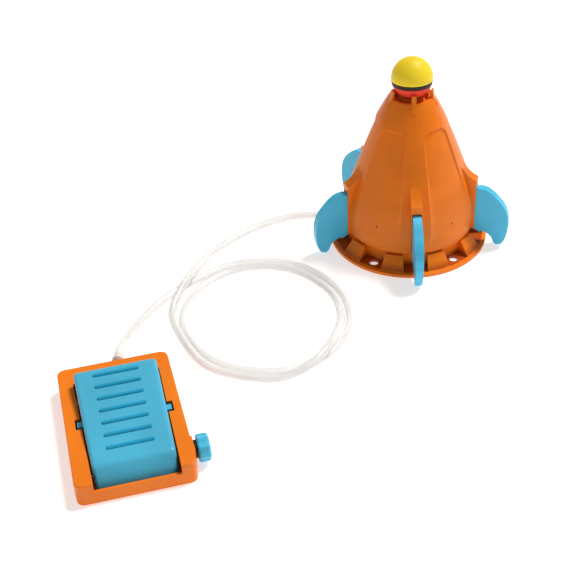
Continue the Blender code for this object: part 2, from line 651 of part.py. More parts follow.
def pump_housing(mat, frame):
    body = prism(pump_outline(0, PUMP_CORNER), PUMP_Z0, PUMP_Z1)
    top = [e for e in body.edges if all(v.co.z > PUMP_Z1 - 0.1 for v in e.verts)]
    bmesh.ops.bevel(body, geom=top, offset=1.6, segments=2, profile=0.5, affect="EDGES")
    housing = to_object("pump_housing", body)
    (y0, y1), x1 = VALVE_BOSS_Y, VALVE_BOSS_X
    side = prism([(40, y0 - 2), (x1 - 2, y0), (x1, y0 + 2), (x1, y1 - 2), (x1 - 2, y1), (40, y1 + 2)],
                 PUMP_Z0, PUMP_Z1 - 1.2)
    edge = [e for e in side.edges if all(v.co.z > PUMP_Z1 - 1 and v.co.x > 41 for v in e.verts)]
    bmesh.ops.bevel(side, geom=edge, offset=1.2, segments=1, affect="EDGES")
    boolean(housing, "UNION", side)

    cavity = prism(pump_outline(WALL + 0.2, PUMP_CORNER - WALL), -5, PUMP_Z1 - WALL)
    boolean(housing, "DIFFERENCE", cavity)
    lug = [(HINGE_Y - 4, HINGE_Z - 4.5), (HINGE_Y + 4, HINGE_Z - 4.5), (HINGE_Y + 4, PUMP_Z1 - 1),
           (HINGE_Y - 4, PUMP_Z1 - 1)]
    lugs = [along_x_plate(lug, PEDAL_X + s * 38.6, 3.0) for s in (-1, 1)]
    near_wall = half_width(KNOB_Y)
    seat = along_x(rod(5.0, near_wall - 39, 20), (38, KNOB_Y, KNOB_Z))
    posts = [moved(rod(3.0, PUMP_Z1 - 5, 12), (x, y, PUMP_Z0 + PLATE_T + GAP)) for x, y in plate_screw_spots()]
    boolean(housing, "UNION", joined(lugs), seat, joined(posts))

    gap = PEDAL_CLEAR
    near = PUMP_NEAR_Y + WALL + 4.2
    hole = [(-pedal_half(near) - gap, near), (pedal_half(near) + gap, near),
            (pedal_half(PEDAL_FAR_Y) + gap, PEDAL_FAR_Y + gap), (-pedal_half(PEDAL_FAR_Y) - gap, PEDAL_FAR_Y + gap)]
    opening = moved(prism(hole, PUMP_Z1 - 6, PUMP_Z1 + 4), (PEDAL_X, 0, 0))
    notch_x = pedal_half(PUMP_NEAR_Y) + gap
    notch = block((PEDAL_X - notch_x, PUMP_NEAR_Y - 5, NOTCH_Z), (PEDAL_X + notch_x, near + 3, PUMP_Z1 + 4))
    reach = pedal_half(TAB_Y) + TAB_OUT + 1.5
    slots = block((PEDAL_X - reach, TAB_Y - 6.4, PUMP_Z1 - 5), (PEDAL_X + reach, TAB_Y + 6.4, PUMP_Z1 + 4))
    pin = along_x(rod(PIN_R + GAP, 90, 16), (-45 + PEDAL_X, HINGE_Y, HINGE_Z))
    outlet = along_y(rod(RISER_R + GAP, 20, 20), (OUTLET_X, PUMP_FAR_Y - 10, OUTLET_Z))
    bore = along_x(rod(STEM_R + GAP, 40, 16), (30, KNOB_Y, KNOB_Z))
    port = moved(rod(1.2, 6, 8), (BLEED_ROUTE[-1][0], KNOB_Y, KNOB_Z - 6))
    pilots = [moved(rod(1.3, 9, 8), (x, y, 2)) for x, y in plate_screw_spots()]
    boolean(housing, "DIFFERENCE", opening, notch, slots, pin, outlet, bore, joined([port] + pilots))
    return finish(housing, mat, frame)


def plate_screw_spots():
    return [(sx * PLATE_SCREW_X, sy * PLATE_SCREW_Y) for sy in (-1, 1) for sx in (-1, 1)]


def along_x_plate(outline, x, thickness):
    """An outline in Y and Z as a plate centred on an X."""
    bm = prism(outline, -thickness / 2, thickness / 2)
    bm.transform(Matrix(((0, 0, 1, x), (1, 0, 0, 0), (0, 1, 0, 0), (0, 0, 0, 1))))
    return bm


def pedal(mat, frame):
    body = along_x_plate(PEDAL_EDGE, 0, 2)
    body.faces.ensure_lookup_table()
    for v in body.verts:
        v.co.x *= pedal_half(v.co.y)
    count = len(PEDAL_EDGE)
    body.verts.ensure_lookup_table()
    rim = []
    for side in (0, count):
        for k in range(PEDAL_TOP_EDGES):
            rim.append(body.edges.get((body.verts[side + k], body.verts[side + k + 1])))
    bmesh.ops.bevel(body, geom=rim, offset=3.6, segments=3, profile=0.5, affect="EDGES", clamp_overlap=True)
    obj = to_object("pedal", body)

    w = PEDAL_WALL
    hollow = [(48 - w, 5), (48 - w, 32.8), (44.6, 36.2 - w), (-54.0, 25.9 - w), (-56.2, 24.9 - w),
              (-57.6, 21.4), (-63.4, 12.8), (-64.8, 8.0), (-65.2, 5)]
    cavity = along_x_plate(hollow, 0, 2)
    for v in cavity.verts:
        v.co.x *= pedal_half(v.co.y) - w
    boolean(obj, "DIFFERENCE", cavity)

    ribs = []
    for k in range(RIBS):
        y = RIB_FIRST_Y - RIB_PITCH * k
        rib = block((-RIB_L / 2, -RIB_W / 2, -1.0), (RIB_L / 2, RIB_W / 2, RIB_H))
        upright = [e for e in rib.edges if abs(e.verts[0].co.z - e.verts[1].co.z) > 1]
        bmesh.ops.bevel(rib, geom=upright, offset=RIB_W * 0.45, segments=2, profile=0.5, affect="EDGES")
        crown = [e for e in rib.edges if all(v.co.z > RIB_H - 0.1 for v in e.verts)]
        bmesh.ops.bevel(rib, geom=crown, offset=0.7, segments=1, affect="EDGES")
        rib.transform(Matrix.Translation((0, y, pedal_top(y))) @ Matrix.Rotation(math.atan(pedal_slope()), 4, "X"))
        ribs.append(rib)
    inner, outer = pedal_half(TAB_Y) - 1.0, pedal_half(TAB_Y) + TAB_OUT
    tabs = [block((min(s * inner, s * outer), TAB_Y - 3.2, 15.6), (max(s * inner, s * outer), TAB_Y + 3.2, TAB_TOP))
            for s in (-1, 1)]
    under = pedal_top(BELLOWS_Y) - 1.2
    ring = [(9, BELLOWS_Z1 + GAP), (11, BELLOWS_Z1 + GAP), (11, under), (9, under)]
    press = moved(turned(ring, 24), (0, BELLOWS_Y, 0))
    boolean(obj, "UNION", joined(ribs), joined(tabs), press)
    boolean(obj, "DIFFERENCE", along_x(rod(PIN_R + GAP, 90, 16), (-45, HINGE_Y, HINGE_Z)))
    obj.data.transform(Matrix.Translation((PEDAL_X * MM, 0, 0)))
    return finish(obj, mat, frame, (PEDAL_X, HINGE_Y, HINGE_Z))


def hinge_pin(mat, frame):
    half = 42.0
    pin = [(0, 0), (PIN_R - 0.4, 0), (PIN_R, 0.6), (PIN_R, 2 * half - 0.6), (PIN_R - 0.4, 2 * half), (0, 2 * half)]
    return piece("hinge_pin", along_x(turned(pin, 16), (PEDAL_X - half, HINGE_Y, HINGE_Z)), mat, frame,
                 (PEDAL_X, HINGE_Y, HINGE_Z))


def bottom_plate(mat, frame):
    inset = WALL + 0.2 + GAP
    z0, z1 = PUMP_Z0, PUMP_Z0 + PLATE_T
    obj = to_object("pump_bottom_plate", prism(pump_outline(inset, PUMP_CORNER - WALL), z0, z1))
    ring_r = CHAMBER_R - CHAMBER_WALL - GAP
    ring = turned([(ring_r - 2, z1 - 1), (ring_r, z1 - 1), (ring_r, z1 + 2), (ring_r - 2, z1 + 2)], 36)
    boolean(obj, "UNION", moved(ring, (PEDAL_X, BELLOWS_Y, 0)))
    port = moved(rod(3.0, 8, 12), (PEDAL_X, FLAP_Y, z0 - 2))
    wells = [moved(rod(FOOT_R + GAP, 2, 20), (x, y, z0 - 1)) for x, y in foot_spots()]
    holes = [moved(rod(1.6, 8, 10), (x, y, z0 - 2)) for x, y in plate_screw_spots()]
    heads = [moved(rod(3.2, 2, 16), (x, y, z0 - 0.8)) for x, y in plate_screw_spots()]
    boolean(obj, "DIFFERENCE", port, joined(wells), joined(holes), joined(heads))
    finish(obj, mat, frame)


def plate_screws(mat, frame):
    for k, (x, y) in enumerate(plate_screw_spots(), 1):
        body = screw(x, y, PUMP_Z0 + 1.2 - GAP, head_r=2.8, head_h=0.7, shank_r=1.0, length=8.0)
        piece("plate_screw_%d" % k, body, mat, frame)


def foot_spots():
    ends = (PUMP_NEAR_Y + FOOT_INSET, PUMP_FAR_Y - FOOT_INSET)
    return [(side * (half_width(y) - FOOT_INSET), y) for y in ends for side in (-1, 1)]


def pump_feet(mat, frame):
    for k, (x, y) in enumerate(foot_spots(), 1):
        foot = [(0, 0), (FOOT_R - 0.6, 0), (FOOT_R, 0.6), (FOOT_R, PUMP_Z0 + 1 - GAP), (0, PUMP_Z0 + 1 - GAP)]
        piece("pump_foot_%d" % k, moved(turned(foot, 20), (x, y, 0)), mat, frame)


def bellows(mat, frame):
    """A concertina bag, open below and closed above."""
    z0, z1 = BELLOWS_Z0, BELLOWS_Z1
    step = (z1 - z0 - 2 * BELLOWS_WALL) / (2 * BELLOWS_FOLDS)
    outer, inner = [], []
    for k in range(2 * BELLOWS_FOLDS + 1):
        z = z0 + BELLOWS_WALL + step * k
        r = BELLOWS_R - (BELLOWS_FOLD if k % 2 == 0 else 0)
        outer.append((r, z))
        inner.append((r - BELLOWS_WALL, z - (BELLOWS_WALL if k == 2 * BELLOWS_FOLDS else 0)))
    low = outer[0][0]
    profile = [(low - BELLOWS_WALL, z0), (low, z0)] + outer + [(low - 1, z1), (0, z1), (0, z1 - 2 * BELLOWS_WALL)]
    profile += inner[::-1]
    bag = moved(turned(profile, 36), (PEDAL_X, BELLOWS_Y, 0))
    return piece("bellows", bag, mat, frame, (PEDAL_X, BELLOWS_Y, z0))


def air_chamber(mat, frame):
    """The short drum under the bellows, which the outlet duct and the bleed tube leave."""
    r, t = CHAMBER_R, CHAMBER_WALL
    z0, z1 = PUMP_Z0 + PLATE_T + GAP, BELLOWS_Z0 - GAP
    drum = turned([(r - t, z0), (r, z0), (r, z1 - 2.6), (r + 2, z1 - 2), (r + 2, z1), (r - t, z1)], 36)
    obj = to_object("air_chamber", moved(drum, (PEDAL_X, BELLOWS_Y, 0)))
    duct = along_y(rod(DUCT_R + GAP, 9, 16), (OUTLET_X, BELLOWS_Y + r - 5, DUCT_Z))
    way = math.degrees(math.atan2(BLEED_ROUTE[0][1] - BELLOWS_Y, BLEED_ROUTE[0][0] - PEDAL_X))
    bleed = along_x(rod(1.2, 8, 10), (r - 5, 0, BLEED_ROUTE[0][2]))
    bleed.transform(Matrix.Translation((PEDAL_X, BELLOWS_Y, 0)) @ Matrix.Rotation(math.radians(way), 4, "Z"))
    boolean(obj, "DIFFERENCE", duct, bleed)
    finish(obj, mat, frame)


def bleed_tube(mat, frame):
    points = resample(smooth_curve(BLEED_ROUTE, 6), 14)
    wire_curve("bleed_tube", points, BLEED_R, mat, frame, resolution=1)


def return_spring(mat, frame):
    z0 = PUMP_Z0 + PLATE_T + SPRING_WIRE + GAP
    z1 = BELLOWS_Z1 - 2 * BELLOWS_WALL - SPRING_WIRE - GAP
    count = int(SPRING_TURNS * 12)
    points = []
    for k in range(count + 1):
        a = 2 * math.pi * SPRING_TURNS * k / count
        points.append((PEDAL_X + SPRING_R * math.cos(a), BELLOWS_Y + SPRING_R * math.sin(a),
                       z0 + (z1 - z0) * k / count))
    return wire_curve("return_spring", points, SPRING_WIRE, mat, frame, resolution=1)


def pump_valves(rubber, white, steel, frame):
    """Intake flap in the bottom plate, check disc and its duct to the outlet barb."""
    z = PUMP_Z0 + PLATE_T + GAP
    flap = turned([(0, z), (5.0, z), (5.0, z + 0.9), (0, z + 0.9)], 20)
    piece("intake_flap", moved(flap, (PEDAL_X, FLAP_Y, 0)), rubber, frame, (PEDAL_X, FLAP_Y, z))

    start, wall = BELLOWS_Y + CHAMBER_R - CHAMBER_WALL, PUMP_FAR_Y
    length = DUCT_END_Y - start
    duct = [(DUCT_R - 1.2, 0), (DUCT_R, 0), (DUCT_R, length), (DUCT_R - 1.2, length)]
    piece("outlet_duct", along_y(turned(duct, 20), (OUTLET_X, start, DUCT_Z)), white, frame)

    y0 = DUCT_END_Y + GAP
    length = wall - WALL - 0.2 - GAP - y0
    cell = [(0, 0), (5.2, 0), (5.2, length), (BORE_R - 0.8, length), (BORE_R - 0.8, 7), (3.7, 6), (3.7, 2), (0, 2)]
    body = to_object("check_valve_body", along_y(turned(cell, 24), (OUTLET_X, y0, OUTLET_Z)))
    boolean(body, "DIFFERENCE", along_y(rod(1.0, 6, 10), (OUTLET_X, y0 - 2, DUCT_Z + 0.4)))
    finish(body, white, frame)
    disc_y = y0 + 2 + GAP
    disc = turned([(0, 0), (3.3, 0), (3.3, 1.2), (0, 1.2)], 20)
    piece("check_disc", along_y(disc, (OUTLET_X, disc_y, OUTLET_Z)), rubber, frame, (OUTLET_X, disc_y, OUTLET_Z))

    start = y0 + length + GAP
    tip = wall + OUTLET_TIP - start
    barb = [(BORE_R - 0.6, 0), (RISER_R, 0), (RISER_R, wall + 1.6 - start), (3.4, wall + 1.6 - start)]
    for k in range(2):
        s = tip - 8 + 4 * k
        barb += [(3.4, s), (4.0, s + 0.1), (3.4, s + 3.4)]
    barb += [(3.2, tip), (BORE_R - 0.6, tip)]
    piece("outlet_barb", along_y(turned(barb, 20), (OUTLET_X, start, OUTLET_Z)), white, frame)


def knob_outline(radius):
    count = KNOB_LOBES * 6
    out = []
    for k in range(count):
        a = 2 * math.pi * k / count
        out.append(((radius + KNOB_DIP * math.cos(KNOB_LOBES * a)) * math.cos(a),
                    (radius + KNOB_DIP * math.cos(KNOB_LOBES * a)) * math.sin(a)))
    return out


def air_valve(blue, rubber, steel, frame):
    """The screw valve on the pump's side: fluted knob, sealing washer and needle."""
    x0 = VALVE_BOSS_X + GAP
    washer = [(STEM_R + GAP, 0), (WASHER_R, 0), (WASHER_R, WASHER_T), (STEM_R + GAP, WASHER_T)]
    piece("knob_washer", along_x(turned(washer, 24), (x0, KNOB_Y, KNOB_Z)), rubber, frame)

    x1 = x0 + WASHER_T + GAP
    bm = bmesh.new()
    rings = []
    for scale, s in ((0.90, 0.0), (1.0, 1.4), (1.0, KNOB_T - 1.8), (0.90, KNOB_T - 0.3), (0.80, KNOB_T)):
        rings.append([bm.verts.new((x * scale, y * scale, s)) for x, y in knob_outline(KNOB_R - KNOB_DIP)])
    for a, b in zip(rings, rings[1:]):
        bridge(bm, a, b)
    bm.faces.new(rings[0][::-1])
    bm.faces.new(rings[-1])
    knob = to_object("air_knob", along_x(bm, (x1, KNOB_Y, KNOB_Z)))
    boolean(knob, "DIFFERENCE", along_x(rod(STEM_R + GAP, 8, 16), (x1 - 1, KNOB_Y, KNOB_Z)))
    finish(knob, blue, frame, (x1, KNOB_Y, KNOB_Z))

    tail = NEEDLE_TAIL_X
    needle = [(0, 0), (0.6, 0), (STEM_R, 4), (STEM_R, x1 + 4.4 - tail), (0, x1 + 4.4 - tail)]
    piece("valve_needle", along_x(turned(needle, 16), (tail, KNOB_Y, KNOB_Z)), steel, frame,
          (tail, KNOB_Y, KNOB_Z))


# ---------------------------------------------------------------- hose
def hose(mat):
    route = smooth_curve(HOSE_ROUTE, 12)
    return wire_curve("hose", resample(route, HOSE_POINTS), HOSE_R, mat, resolution=2)


def main():
    clear_scene()
    orange = material("orange_plastic", "f0802a", 0.38)
    blue = material("blue_plastic", "3fb4dc", 0.35)
    yellow = material("yellow_plastic", "fce13c", 0.4)
    red = material("red_plastic", "e8452f", 0.4)
    black = material("black_rubber", "25211f", 0.6)
    white = material("white_nylon", "e9e6df", 0.45)
    steel = material("steel", "b9bcc0", 0.3, metallic=1.0)
    clear = material("clear_vinyl", "eef2f3", 0.12, transmission=0.9)

    rocket_shell(orange)
    launcher_base(orange)
    names = ("fin_front", "fin_right", "fin_back_right", "fin_back_left", "fin_left")
    for name, azimuth in zip(names, azimuths()):
        fin(name, azimuth, blue)
    base_screws(steel)
    ball(yellow, black, red)
    launcher_air_path(orange, white, black)

    frame = bpy.data.objects.new("pump_frame", None)
    turn = math.radians(PUMP_TURN)
    frame.location = ((PUMP_X + PUMP_FAR_Y * math.sin(turn)) * MM, (PUMP_Y - PUMP_FAR_Y * math.cos(turn)) * MM, 0)
    frame.rotation_euler = (0, 0, turn)
    bpy.context.scene.collection.objects.link(frame)
    pump_housing(orange, frame)
    bottom_plate(orange, frame)
    pedal(blue, frame)
    hinge_pin(steel, frame)
    bellows(black, frame)
    air_chamber(white, frame)
    bleed_tube(white, frame)
    plate_screws(steel, frame)
    return_spring(steel, frame)
    pump_valves(black, white, steel, frame)
    air_valve(blue, black, steel, frame)
    pump_feet(black, frame)
    hose(clear)


main()
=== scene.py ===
"""Looks of the air-powered ball launcher: finishes, fine shapes, the clear hose, floor, light and camera."""
import json
import math

import bmesh
import bpy
from mathutils import Matrix, Vector

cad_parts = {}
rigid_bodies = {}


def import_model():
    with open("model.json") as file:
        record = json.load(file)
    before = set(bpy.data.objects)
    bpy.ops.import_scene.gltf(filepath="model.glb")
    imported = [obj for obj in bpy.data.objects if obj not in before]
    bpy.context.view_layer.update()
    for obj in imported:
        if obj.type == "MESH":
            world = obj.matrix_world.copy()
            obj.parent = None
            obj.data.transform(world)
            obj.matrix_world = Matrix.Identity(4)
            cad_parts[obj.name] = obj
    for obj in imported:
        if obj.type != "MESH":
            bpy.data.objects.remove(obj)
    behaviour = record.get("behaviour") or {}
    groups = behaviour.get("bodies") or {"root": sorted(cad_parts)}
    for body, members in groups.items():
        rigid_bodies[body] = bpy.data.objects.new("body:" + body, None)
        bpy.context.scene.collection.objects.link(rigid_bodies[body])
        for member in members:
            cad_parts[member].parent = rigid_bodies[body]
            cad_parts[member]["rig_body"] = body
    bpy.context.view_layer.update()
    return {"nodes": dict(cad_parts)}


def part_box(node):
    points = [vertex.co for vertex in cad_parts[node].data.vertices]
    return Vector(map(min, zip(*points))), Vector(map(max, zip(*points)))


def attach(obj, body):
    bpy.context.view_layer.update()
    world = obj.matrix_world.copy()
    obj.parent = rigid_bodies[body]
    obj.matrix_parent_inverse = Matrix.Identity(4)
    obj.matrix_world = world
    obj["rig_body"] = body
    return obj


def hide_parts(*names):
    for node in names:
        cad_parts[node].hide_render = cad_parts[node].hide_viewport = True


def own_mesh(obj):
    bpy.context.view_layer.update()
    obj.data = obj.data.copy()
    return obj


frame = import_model()
nodes = frame["nodes"]

MM = 0.001
ROOT = "launcher_and_pump"
UP = Vector((0, 0, 1))

CAMERA_PLACE = (-0.1244, -1.0003, 0.70005)
CAMERA_TILT = 52.56       # degrees up from straight down
CAMERA_ROLL = -2.71
LENS = 73.58
SENSOR = 36.0
SHIFT_X = -0.0049

HOSE_R = 3.85 * MM
HOSE_SIDES = 28
HOSE_STEPS = 16           # points of the smooth curve between two points of the route
HOSE_RINGS = 420
HOSE_EASING = 20          # passes that take small kinks out of the route
HOSE_ROUTE = [            # pump, first turn, second turn, then over the first strand to the launcher, in mm
    (-282.8, -194.8, 8.9), (-284.9, -183.0, 7.4), (-276.3, -150.8, 4.2), (-250.3, -103.7, 4.1),
    (-219.3, -73.6, 4.1), (-183.9, -49.8, 4.1), (-149.2, -45.3, 4.1), (-112.0, -57.0, 4.1),
    (-78.2, -96.0, 4.1), (-68.9, -133.4, 4.1), (-72.7, -163.4, 4.1), (-92.7, -192.6, 4.1),
    (-117.1, -208.5, 4.1), (-144.0, -214.5, 4.1), (-184.7, -203.5, 4.1), (-205.3, -186.2, 4.1),
    (-220.0, -161.8, 4.1), (-227.6, -136.8, 4.1), (-224.0, -108.0, 4.1), (-211.5, -82.0, 4.1),
    (-180.8, -57.7, 4.1), (-149.0, -53.8, 4.1), (-115.5, -65.0, 4.1), (-85.4, -100.5, 4.1),
    (-77.4, -134.1, 4.2), (-80.8, -160.9, 9.2), (-92.7, -192.6, 12.6), (-113.6, -216.2, 9.2),
    (-143.5, -223.0, 4.2), (-188.9, -210.9, 4.1), (-212.0, -191.5, 4.1), (-236.1, -136.5, 4.6),
    (-236.6, -113.0, 8.6), (-227.3, -88.0, 12.8), (-219.8, -71.0, 12.2), (-209.8, -43.5, 7.4),
    (-194.2, -17.6, 4.5), (-158.3, 14.7, 4.5), (-118.0, 28.9, 6.5), (-79.1, 25.5, 8.7),
]
COLLAR_SIDES = 32
COLLAR_AIM = 8            # the collar points at this ring of the hose
COLLAR = [                # (mm along the hose, share of the hose's radius)
    (0.0, 1.04), (0.0, 1.3), (0.5, 1.42), (2.0, 1.42), (2.6, 1.3), (3.2, 1.36), (4.4, 1.34),
    (5.0, 1.22), (5.6, 1.27), (6.8, 1.25), (7.4, 1.15), (8.0, 1.18), (9.6, 1.12), (9.8, 1.04),
]

BALL_R = 20.0
BALL_SIDES = 72
BALL_TILT = -6.0          # degrees that the ball's band leans towards the back
BALL_LIP = 0.25           # depth of half the groove beside the band, in mm
BALL_ZONES = (            # piece, node, lowest and highest height from the ball's centre in mm
    ("ball_top", "ball_upper", -2.0, 19.99),
    ("ball_belt", "ball_band", -6.1, -2.2),
    ("ball_base", "ball_lower", -19.99, -6.3),
)

SIDES = 5                 # fins, counted from -Y
FIN_NODES = ("fin_front", "fin_right", "fin_back_right", "fin_back_left", "fin_left")
FIN_T = 8.2               # thickness in the channel, in mm
FIN_TIP_T = 6.6
FIN_ROUND = 2.2           # radius on the free edges, in mm
FIN_STEPS = 6             # points of the outline between two points of FIN_EDGE
FIN_ROOT_R = 68.4         # the fin's free part starts at this radius, in mm
FIN_THIN_TOP = 0.0372     # the fin thins from this height down, in m
FIN_THIN_OVER = 0.036     # height in which it reaches FIN_TIP_T, in m
FIN_EDGE = [              # (radius, height) of the free edge, in mm
    (69.0, 65.4), (80.3, 63.2), (92.6, 52.4), (99.6, 41.5), (102.2, 29.0), (101.7, 17.0),
    (99.3, 7.0), (95.4, 1.7), (91.8, 1.2), (88.6, 3.8), (86.0, 9.6), (81.0, 13.9), (74.8, 16.0),
]
FIN_INNER = [             # (radius, height) of the side that is hidden in the shell, in mm
    (64.6, 17.2), (64.6, 52.0), (62.8, 65.0),
]

PUMP_X, PUMP_Y, PUMP_TURN = -269.6, -277.6, 12.9     # the pump's origin in mm, and its turn in degrees
PEDAL_FAR_Y, PEDAL_FAR_TOP = 45, 36.2     # where the pedal's upper face ends, in the pump's own mm
PEDAL_SLOPE = 0.10362
RIB_ZONE = (-50, 46)      # the ribs' reach along the pump, in mm
RIB_FOOT = 0.3            # a face this far above the pedal's upper face is a rib's, in mm

# Painted shade for the dish's pockets: where it lies, its colour and its strength.
PAINTED_SHADE_ZONE = (0.0036, 0.0105, 0.0758)        # painted pocket shade: full below, none above, and its outer radius, in m
PAINTED_SHADE_COLOUR = "8a2c14"
PAINTED_SHADE_SHARE = 0.7        # how strongly the painted shade covers the pockets

WELD = 3e-6               # corners this close are one, in m
FLAT_BELOW = 0.4          # degrees between faces that are one flat face
ROUND_ABOVE = 32          # degrees at an edge that gets a moulded radius
SHARP_ABOVE = 60
FACE_WEIGHT = 80          # how much large faces decide the shading beside them


# ---------------------------------------------------------------- camera, light and floor
def camera():
    data = bpy.data.cameras.new("camera")
    data.lens = LENS
    data.sensor_width = SENSOR
    data.shift_x = SHIFT_X
    data.clip_start = 0.05
    data.clip_end = 20.0
    obj = bpy.data.objects.new("camera", data)
    tilt = Matrix.Rotation(math.radians(CAMERA_TILT), 4, "X")
    roll = Matrix.Rotation(math.radians(CAMERA_ROLL), 4, "Z")
    obj.matrix_world = Matrix.Translation(CAMERA_PLACE) @ tilt @ roll
    bpy.context.scene.collection.objects.link(obj)
    bpy.context.scene.camera = obj


def sun(name, azimuth, elevation, strength, angle, tint):
    """A sun; its azimuth is counted from +X towards +Y."""
    data = bpy.data.lights.new(name, "SUN")
    data.energy = strength
    data.angle = math.radians(angle)
    data.color = tint
    obj = bpy.data.objects.new(name, data)
    a, e = math.radians(azimuth), math.radians(elevation)
    way = Vector((math.cos(a) * math.cos(e), math.sin(a) * math.cos(e), math.sin(e)))
    obj.rotation_euler = way.to_track_quat("Z", "Y").to_euler()
    bpy.context.scene.collection.objects.link(obj)


def world(strength):
    data = bpy.data.worlds.new("studio")
    data.use_nodes = True
    back = data.node_tree.nodes["Background"]
    back.inputs["Color"].default_value = (1.0, 0.99, 0.975, 1)
    back.inputs["Strength"].default_value = strength
    bpy.context.scene.world = data


def floor():
    bm = bmesh.new()
    bmesh.ops.create_grid(bm, x_segments=2, y_segments=2, size=6.0)
    bmesh.ops.translate(bm, vec=(0, 0, -0.0002), verts=bm.verts)
    obj = new_object("floor", bm)
    mat = bpy.data.materials.new("floor_white")
    mat.use_nodes = True
    shader = mat.node_tree.nodes["Principled BSDF"]
    shader.inputs["Base Color"].default_value = (0.8, 0.775, 0.76, 1)
    shader.inputs["Roughness"].default_value = 0.9
    shader.inputs["Specular IOR Level"].default_value = 0.1
    shader.inputs["Emission Color"].default_value = (1.0, 0.97, 0.95, 1)
    shader.inputs["Emission Strength"].default_value = 0.55
    obj.data.materials.append(mat)


# ---------------------------------------------------------------- mesh helpers
def new_object(name, bm, smooth_angle=None):
    bmesh.ops.recalc_face_normals(bm, faces=bm.faces)
    if bm.calc_volume(signed=True) < 0:
        bmesh.ops.reverse_faces(bm, faces=bm.faces)
    mesh = bpy.data.meshes.new(name)
    bm.to_mesh(mesh)
    bm.free()
    if smooth_angle is not None:
        mesh.shade_smooth()
        mesh.set_sharp_from_angle(angle=math.radians(smooth_angle))
    obj = bpy.data.objects.new(name, mesh)
    bpy.context.scene.collection.objects.link(obj)
    return obj


def placed(obj, mat, body, node=None):
    """Gives a finished piece its material and its body, and its CAD node's place."""
    obj.data.materials.append(mat)
    if node:
        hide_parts(node)
    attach(obj, body)
    return obj


def applied(obj):
    """Applies all of an object's modifiers."""
    graph = bpy.context.evaluated_depsgraph_get()
    mesh = bpy.data.meshes.new_from_object(obj.evaluated_get(graph))
    obj.modifiers.clear()
    obj.data = mesh


def softened(node, body, mat, width):
    """A CAD node's shape with small moulded radii on its edges, in that node's place."""
    bm = bmesh.new()
    bm.from_mesh(nodes[node].data)
    bmesh.ops.remove_doubles(bm, verts=bm.verts, dist=WELD)
    bmesh.ops.dissolve_limit(bm, angle_limit=math.radians(FLAT_BELOW), verts=bm.verts, edges=bm.edges)
    obj = new_object(node + "_shape", bm)
    radii = obj.modifiers.new("radii", "BEVEL")
    radii.width = width * MM
    radii.segments = 2
    radii.limit_method = "ANGLE"
    radii.angle_limit = math.radians(ROUND_ABOVE)
    weighted = obj.modifiers.new("flat_faces", "WEIGHTED_NORMAL")
    weighted.weight = FACE_WEIGHT
    weighted.keep_sharp = True
    obj.data.shade_smooth()
    obj.data.set_sharp_from_angle(angle=math.radians(SHARP_ABOVE))
    applied(obj)
    obj.data.materials.clear()
    return placed(obj, mat, body, node)


def ring(bm, centre, side, up, radius, count):
    """A ring of points round a centre, in the plane of side and up."""
    turn = [2 * math.pi * i / count for i in range(count)]
    return [bm.verts.new(centre + radius * (math.cos(a) * side + math.sin(a) * up)) for a in turn]


def skin(bm, rings):
    """Faces between each ring and the next."""
    for a, b in zip(rings, rings[1:]):
        count = len(a)
        for i in range(count):
            bm.faces.new((a[i], a[(i + 1) % count], b[(i + 1) % count], b[i]))


def capped(bm, rings):
    """The same, closed at both ends."""
    skin(bm, rings)
    bm.faces.new(rings[0][::-1])
    bm.faces.new(rings[-1])


def smooth_curve(points, steps):
    """Catmull-Rom points through the given ones, with the ends kept."""
    pts = [Vector(p) for p in points]
    pts = [2 * pts[0] - pts[1]] + pts + [2 * pts[-1] - pts[-2]]
    out = []
    for a, b, c, d in zip(pts, pts[1:], pts[2:], pts[3:]):
        for k in range(steps):
            t = k / steps
            out.append(0.5 * (2 * b + (c - a) * t + (2 * a - 5 * b + 4 * c - d) * t ** 2
                              + (3 * b - a - 3 * c + d) * t ** 3))
    return out + [pts[-2]]


def resample(points, count):
    """The same path with evenly spaced points."""
    lengths = [0.0]
    for a, b in zip(points, points[1:]):
        lengths.append(lengths[-1] + (b - a).length)
    out, k = [], 0
    for i in range(count):
        s = lengths[-1] * i / (count - 1)
        while k < len(points) - 2 and lengths[k + 1] < s:
            k += 1
        span = lengths[k + 1] - lengths[k]
        out.append(points[k].lerp(points[k + 1], (s - lengths[k]) / span))
    return out


def eased(points, passes):
    """Takes small kinks out of a path in plan; heights and ends stay."""
    for _ in range(passes):
        plan = [(a + 2 * b + c) / 4 for a, b, c in zip(points, points[1:], points[2:])]
        middle = [Vector((p.x, p.y, q.z)) for p, q in zip(plan, points[1:])]
        points = [points[0]] + middle + [points[-1]]
    return points


# ---------------------------------------------------------------- materials
def linear(channel):
    """An sRGB channel as linear light."""
    return channel / 12.92 if channel <= 0.04045 else ((channel + 0.055) / 1.055) ** 2.4


def colour(hex_code, gain=1.0):
    """A hex code as the colour that Blender's inputs take, brightened by the gain."""
    rgb = [min(1.0, gain * linear(int(hex_code[i:i + 2], 16) / 255)) for i in (0, 2, 4)]
    return (*rgb, 1.0)


